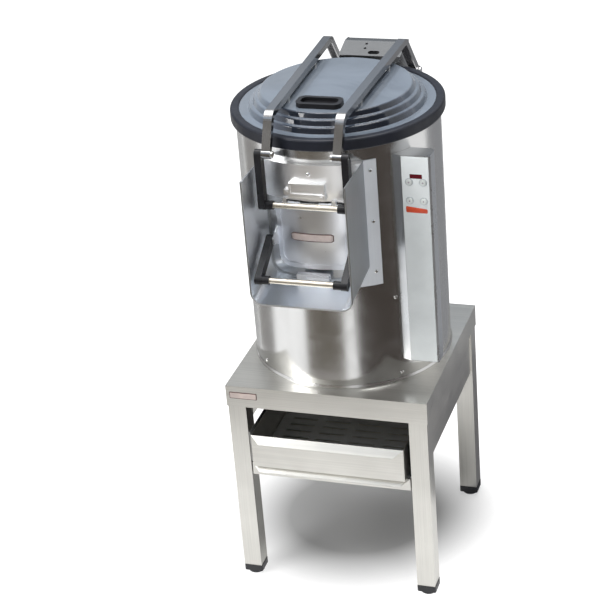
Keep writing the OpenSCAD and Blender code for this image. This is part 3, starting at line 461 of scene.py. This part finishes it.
def wrapped_plate(name, w, h, r, t, finish, body, place):
    """A thin plate with a soft rim that follows a curved sheet."""
    soft = t * 0.6
    cols = 18
    sections = []
    for i in range(cols + 1):
        x = -w / 2 + w * i / cols
        edge = abs(x) - (w / 2 - r)
        half = h / 2 - (r - math.sqrt(max(0.0, r * r - edge * edge)) if edge > 0 else 0.0)
        sections.append((x, max(half, 0.3 * r)))
    bm = bmesh.new()
    rows = []
    for x, half in sections:
        profile = ((-half, 0.0), (-half, t - soft), (-half + soft, t),
                   (half - soft, t), (half, t - soft), (half, 0.0))
        rows.append([bm.verts.new(place(x, out, z)) for z, out in profile])
    for a, b in zip(rows, rows[1:]):
        for i in range(6):
            bm.faces.new((a[i], b[i], b[(i + 1) % 6], a[(i + 1) % 6]))
    bm.faces.new(rows[0])
    bm.faces.new(rows[-1][::-1])
    bmesh.ops.recalc_face_normals(bm, faces=bm.faces)
    me = bpy.data.meshes.new(name)
    bm.to_mesh(me)
    bm.free()
    return piece(name, me, finish, body)


on_door = wrapped_at(-0.0025, DOOR_FACE_R, TABLE_Z + 0.356)
wrapped_plate("door_plate_rim", 0.092, 0.0185, 0.003, 0.0008, plate_rim, "door", on_door)
wrapped_plate("door_plate", 0.0885, 0.0150, 0.002, 0.0013, plate_pale, "door", on_door)

on_apron = flat_at(-0.184, APRON_Y, 0.4678)
domed("apron_plate_rim", cushion(0.062, 0.0155, 0.002, 0.0009, 0.0005), plate_rim, "machine",
      on_apron)
domed("apron_plate", cushion(0.059, 0.0125, 0.0015, 0.0014, 0.0005), plate_pale, "machine",
      on_apron)

BUTTON_STEP = 0.0145
BUTTON_HIGH, BUTTON_LOW = 0.4635, 0.4225
BUTTONS = {"top_left": (-1, BUTTON_HIGH), "top_right": (1, BUTTON_HIGH),
           "low_left": (-1, BUTTON_LOW), "low_right": (1, BUTTON_LOW)}


def strip_points():
    """Plain strip whose right end tapers."""
    pts = outline(0.045, 0.0135, 0.003)
    return [(x, z * (1 - 0.35 * max(0.0, x / 0.0225)) - 0.0015 * (x / 0.0225)) for x, z in pts]


strip_out = strip_points()
strip_in = [(x * 0.98, z * 0.94) for x, z in strip_out]
domed("panel_strip", [(strip_out, 0.0), (strip_out, 0.0004), (strip_in, 0.0007)], strip_red, "machine",
      flat_at(COLUMN_X - 0.001, PANEL_Y, TABLE_Z + 0.4015))


def circle(r, steps=40):
    turns = [2 * math.pi * k / steps for k in range(steps)]
    return [(r * math.cos(a), r * math.sin(a)) for a in turns]


def ring_piece(name, r_in, r_out, t, finish, body, place):
    """Flat ring with rounded rims round a button."""
    profile = [(r_out, 0.0), (r_out, t * 0.6), (r_out - 0.3 * t, t),
               (r_in + 0.3 * t, t), (r_in, t * 0.6), (r_in, 0.0)]
    bm = bmesh.new()
    loops = [[bm.verts.new(place(x, out, z)) for x, z in circle(r)] for r, out in profile]
    for k, low in enumerate(loops):
        high = loops[(k + 1) % len(loops)]
        for i in range(len(low)):
            j = (i + 1) % len(low)
            bm.faces.new((low[i], low[j], high[j], high[i]))
    bmesh.ops.recalc_face_normals(bm, faces=bm.faces)
    me = bpy.data.meshes.new(name)
    bm.to_mesh(me)
    bm.free()
    return piece(name, me, finish, body)


for key, (side, height) in BUTTONS.items():
    at = (COLUMN_X + side * BUTTON_STEP, TABLE_Z + height)
    ring_finish = plastic("ring_" + key, (0.62, 0.66, 0.68), 0.35)
    ring_piece("button_ring_" + key, 0.0069, 0.0084, 0.0006, ring_finish, "machine",
               flat_at(at[0], PANEL_Y, at[1]))
    mark = circle(0.0017, 24)
    domed("button_mark_" + key, [(mark, 0.0), (mark, 0.0002), (circle(0.0012, 24), 0.0004)], button_mark,
          "button_" + key, flat_at(at[0], BUTTON_Y, at[1]))

for ob in list(bpy.data.objects):
    if ob.type == "MESH" and ob.name not in nodes:
        for poly in ob.data.polygons:
            poly.use_smooth = True


# ---------- stage and light ----------
def light_world():
    world = bpy.data.worlds.new("studio")
    bpy.context.scene.world = world
    world.use_nodes = True
    t = world.node_tree
    t.nodes.clear()
    path = t.nodes.new("ShaderNodeLightPath")
    white = t.nodes.new("ShaderNodeBackground")
    dim = t.nodes.new("ShaderNodeBackground")
    white.inputs["Color"].default_value = (1, 1, 1, 1)
    white.inputs["Strength"].default_value = 1.0
    dim.inputs["Color"].default_value = (0.95, 0.97, 1, 1)
    dim.inputs["Strength"].default_value = 0.18
    a = t.nodes.new("ShaderNodeMath")
    a.operation = "MAXIMUM"
    b = t.nodes.new("ShaderNodeMath")
    b.operation = "MAXIMUM"
    t.links.new(path.outputs["Is Camera Ray"], a.inputs[0])
    t.links.new(path.outputs["Is Glossy Ray"], a.inputs[1])
    t.links.new(a.outputs[0], b.inputs[0])
    t.links.new(path.outputs["Is Transmission Ray"], b.inputs[1])
    mix = t.nodes.new("ShaderNodeMixShader")
    out = t.nodes.new("ShaderNodeOutputWorld")
    t.links.new(b.outputs[0], mix.inputs[0])
    t.links.new(dim.outputs[0], mix.inputs[1])
    t.links.new(white.outputs[0], mix.inputs[2])
    t.links.new(mix.outputs[0], out.inputs[0])


FLOOR_HALF = 12.0            # half the floor's side
# painted shadow: the floor's glow is missing round this centre, so a round grey pool shows under the table
PAINTED_SHADOW_CENTRE = (-0.03, 0.05)
PAINTED_SHADOW_FADE = (0.17, 0.36)   # the floor's glow grows between these distances from the shadow's centre
MIRRORED_GLOW = 0.85         # how much of that glow polished metal shows


def floor_plane():
    """Pale floor whose glow fades out round a point under the table, a painted round shadow; inside it the
    lamps' own shadow shows, and it is white elsewhere.
    """
    me = bpy.data.meshes.new("floor")
    s = FLOOR_HALF
    me.from_pydata([(-s, -s, 0), (s, -s, 0), (s, s, 0), (-s, s, 0)], [], [(0, 1, 2, 3)])
    ob = bpy.data.objects.new("floor", me)
    bpy.context.scene.collection.objects.link(ob)
    m = Mat("floor_white", (0.42, 0.42, 0.42), 0.9)
    path = m.add("ShaderNodeLightPath")
    mirrored = m.math("MAXIMUM", path.outputs["Is Glossy Ray"], path.outputs["Is Transmission Ray"])
    seen = m.math("MAXIMUM", path.outputs["Is Camera Ray"], m.math("MULTIPLY", mirrored, MIRRORED_GLOW))
    m.bsdf.inputs["Emission Color"].default_value = (1, 1, 1, 1)
    sep = m.add("ShaderNodeSeparateXYZ")
    m.link(m.coord, sep.inputs[0])
    x = m.math("SUBTRACT", sep.outputs[0], PAINTED_SHADOW_CENTRE[0])
    y = m.math("SUBTRACT", sep.outputs[1], PAINTED_SHADOW_CENTRE[1])
    away = m.math("SQRT", m.math("ADD", m.math("MULTIPLY", x, x), m.math("MULTIPLY", y, y)))
    # the glow fades out towards the centre: a painted round shadow under the table
    glow = m.math("MULTIPLY", seen, m.spread(away, 0.0, 1.0, PAINTED_SHADOW_FADE))
    m.link(glow, m.bsdf.inputs["Emission Strength"])
    m.bsdf.inputs["Specular IOR Level"].default_value = 0.0
    me.materials.append(m.mat)


def area(name, place, target, size, watts, color=(1, 1, 1)):
    light = bpy.data.lights.new(name, "AREA")
    light.shape = "RECTANGLE"
    light.size, light.size_y = size
    light.energy = watts
    light.color = color
    ob = bpy.data.objects.new(name, light)
    ob.location = place
    ob.rotation_euler = (Vector(target) - Vector(place)).to_track_quat("-Z", "Y").to_euler()
    bpy.context.scene.collection.objects.link(ob)
    ob.visible_camera = False
    return ob


def card(name, radius, start, end, foot, high, tone, low=0.0):
    """A curved card round the object between two compass angles, which only polished metal shows.

    Its foot lies on the floor from radius foot outwards."""
    steps = max(2, int(abs(end - start) / 4))
    profile = [(radius, low), (radius, high)]
    if foot is not None:
        profile = [(foot, 0.003)] + profile
    verts, faces = [], []
    for i in range(steps + 1):
        a = math.radians(start + (end - start) * i / steps)
        verts += [(r * math.sin(a), -r * math.cos(a), z) for r, z in profile]
    n = len(profile)
    for i in range(steps):
        for k in range(n - 1):
            faces.append((n * i + k, n * i + n + k, n * i + n + k + 1, n * i + k + 1))
    me = bpy.data.meshes.new(name)
    me.from_pydata(verts, [], faces)
    ob = bpy.data.objects.new(name, me)
    bpy.context.scene.collection.objects.link(ob)
    ob.visible_camera = False
    ob.visible_shadow = False
    ob.visible_diffuse = False
    ob.visible_transmission = False
    m = Mat(name, (0, 0, 0), 1.0)
    m.bsdf.inputs["Specular IOR Level"].default_value = 0.0
    m.bsdf.inputs["Emission Color"].default_value = (*tone, 1)
    m.bsdf.inputs["Emission Strength"].default_value = 1.0
    me.materials.append(m.mat)


light_world()
floor_plane()
area("key", (-2.4, -2.6, 3.3), (0, 0, 0.6), (2.2, 2.2), 129)
area("fill", (2.6, -2.9, 1.8), (0, 0, 0.6), (1.8, 2.4), 47)
area("top", (-0.1, 0.3, 4.2), (0, 0, 0.9), (2.6, 2.6), 110)
card("card_front", 1.6, -34, 8, 1.05, 2.2, (0.20, 0.178, 0.15))
card("card_right", 1.6, 21, 80, 1.0, 2.2, (0.085, 0.072, 0.064))
card("card_right_near", 0.92, 112, 176, 0.24, 0.02, (0.15, 0.15, 0.165))
card("card_back_right", 1.6, 124, 176, 0.93, 1.7, (0.34, 0.345, 0.36))
card("card_left", 1.6, -112, -80, 1.05, 1.7, (0.38, 0.37, 0.36))
card("card_left_back", 1.6, -158, -116, 0.9, 1.7, (0.55, 0.55, 0.55))
card("card_back_low", 2.8, 176, 262, None, 2.1, (0.33, 0.35, 0.375), low=0.9)
card("card_back_high", 2.8, 176, 262, None, 3.6, (0.56, 0.63, 0.73), low=2.1)
card("card_sky", 2.0, -70, 60, None, 3.4, (0.55, 0.68, 0.85), low=2.4)

bpy.context.scene.view_settings.view_transform = "Standard"
